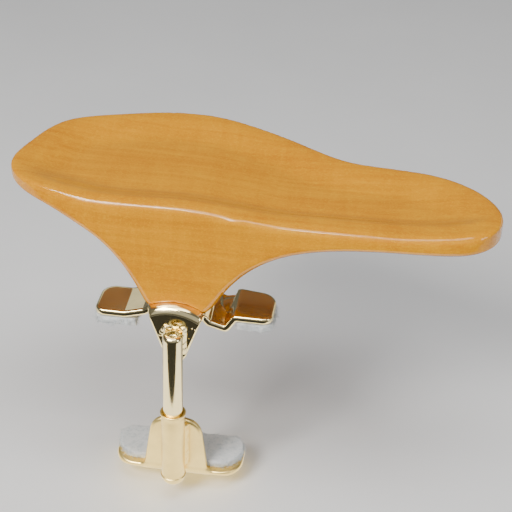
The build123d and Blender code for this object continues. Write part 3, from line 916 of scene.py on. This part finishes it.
INNER_PARTS = (
    "insert_front", "insert_rear", "tilt_clamp_bar", "lock_washer_front", "lock_washer_rear",
    "tilt_screw_front", "tilt_screw_rear", "thrust_washer",
)


def inner_parts():
    """Small machined parts keep their CAD shape and get their finish."""
    for node in INNER_PARTS:
        mesh = frame["nodes"][node].data
        mesh.materials.clear()
        mesh.materials.append(FINISH[SLOT_OF[node]])


# ---- stage, light and camera

JAW_OPENING = 4.0              # the lower jaw slides down this far, so the floor lies lower still
FLOOR_Z = cad_box[0][2] / MM - JAW_OPENING - 0.2
FLOOR_HALF = 3000


def floor():
    """A wide, flat floor below the open jaw."""
    shape = bmesh.new()
    level = Matrix.Translation((0, 0, FLOOR_Z * MM))
    bmesh.ops.create_grid(shape, x_segments=8, y_segments=8, size=FLOOR_HALF * MM, matrix=level)
    mesh = bpy.data.meshes.new("floor")
    shape.to_mesh(mesh)
    shape.free()
    add_object("floor", mesh, floor_paper())


def softbox(name, location, target, size, power, colour=(1.0, 1.0, 1.0)):
    """A rectangular area light at the location, turned to the target."""
    light = bpy.data.lights.new(name, "AREA")
    light.shape = "RECTANGLE"
    light.size, light.size_y = (s * MM for s in size)
    light.energy = power
    light.color = colour
    lamp = bpy.data.objects.new(name, light)
    bpy.context.scene.collection.objects.link(lamp)
    lamp.location = Vector(location) * MM
    lamp.rotation_euler = (Vector(target) - Vector(location)).to_track_quat("-Z", "Y").to_euler()


def reflector(name, corner_points, radiance):
    """A card that only mirrors see: it shapes the highlights and the reflections in metal."""
    mesh = mesh_from(name, corner_points, [tuple(range(len(corner_points)))])
    material = bpy.data.materials.new(name)
    material.use_nodes = True
    tree = material.node_tree
    tree.nodes.clear()
    glow = tree.nodes.new("ShaderNodeEmission")
    glow.inputs["Color"].default_value = (*radiance, 1.0)
    output = tree.nodes.new("ShaderNodeOutputMaterial")
    tree.links.new(glow.outputs["Emission"], output.inputs["Surface"])
    card = add_object(name, mesh, material)
    card.visible_camera = False
    card.visible_diffuse = False
    card.visible_shadow = False
    card.visible_transmission = False


def floor_card(name, x_range, y_range, radiance):
    """A card that lies just above the floor."""
    height = FLOOR_Z + 0.1
    (left, right), (near, far) = x_range, y_range
    corner_points = [(left, near, height), (right, near, height), (right, far, height), (left, far, height)]
    reflector(name, corner_points, radiance)


def hanging_card(name, centre, target, width, height, radiance):
    """A card at the centre, turned to face the target."""
    towards = (Vector(target) - Vector(centre)).normalized()
    across = towards.cross(Vector((0, 0, 1))).normalized() * (width / 2)
    up = across.cross(towards).normalized() * (height / 2)
    signs = ((-1, -1), (1, -1), (1, 1), (-1, 1))
    corner_points = [Vector(centre) + a * across + b * up for a, b in signs]
    reflector(name, corner_points, radiance)


def studio():
    """Soft light from the front left and above; cards give the lacquer and metal something to mirror."""
    world = bpy.data.worlds.new("studio")
    world.use_nodes = True
    background = world.node_tree.nodes["Background"]
    background.inputs["Color"].default_value = (0.95, 0.97, 1.0, 1.0)
    background.inputs["Strength"].default_value = 0.16
    bpy.context.scene.world = world
    softbox("key", (-260, -420, 470), (10, 10, 15), (240, 240), 4.2, (1.0, 0.98, 0.95))
    softbox("top", (60, -90, 600), (15, 20, 20), (420, 240), 1.8)
    softbox("side", (520, -160, 240), (20, 0, 10), (160, 260), 0.7)
    floor_card("dark_card", (-420, 330), (-700, -48), (0.055, 0.055, 0.055))
    floor_card("pale_card", (-90, 90), (-47, 22), (2.3, 2.2, 2.0))
    seat = (0, 0, 0)
    hanging_card("window", (-203, -231, 519), seat, 420, 260, (30, 29, 27))
    hanging_card("sky", (20, -430, 330), seat, 1000, 420, (0.55, 0.56, 0.58))
    hanging_card("left_glint", (-33, 48, 24), (-11, 5, 5), 20, 10, (0.9, 0.9, 0.85))
    hanging_card("right_glint", (324, 380, 114), seat, 240, 100, (1.9, 1.6, 1.2))


CAMERA_TURN = (7.44, 32.22, 1.88)                # azimuth, elevation and roll in degrees
CAMERA_PLACE = (54.79, -273.74, 198.05)
LENS, SENSOR = 97.32, 36.0


def camera():
    """The photo's camera: in front, a little to the right, looking down."""
    azimuth, elevation, roll = (math.radians(angle) for angle in CAMERA_TURN)
    right = Vector((math.cos(azimuth), math.sin(azimuth), 0))
    level = Vector((-math.sin(azimuth), math.cos(azimuth), 0))
    forward = level * math.cos(elevation) - Vector((0, 0, math.sin(elevation)))
    up = right.cross(forward)
    tilted_right = math.cos(roll) * right + math.sin(roll) * up
    tilted_up = math.cos(roll) * up - math.sin(roll) * right
    data = bpy.data.cameras.new("camera")
    data.lens = LENS
    data.sensor_width = SENSOR
    holder = bpy.data.objects.new("camera", data)
    bpy.context.scene.collection.objects.link(holder)
    pose = Matrix((tilted_right, tilted_up, -forward)).transposed().to_4x4()
    pose.translation = Vector(CAMERA_PLACE) * MM
    holder.matrix_world = pose
    bpy.context.scene.camera = holder


chin_plate()
upper_bracket()
lower_bracket()
guide_tube()
clamp_sleeve()
sleeve_end_nut()
clamp_screw()
braze("guide_braze", 0.16, GUIDE_DROPS)
braze("sleeve_braze", 0.14)
felt_pad("upper_felt_left", seed=11)
felt_pad("upper_felt_right", seed=12)
felt_pad("lower_felt", seed=13, strands=1600)
inner_parts()
floor()
studio()
camera()
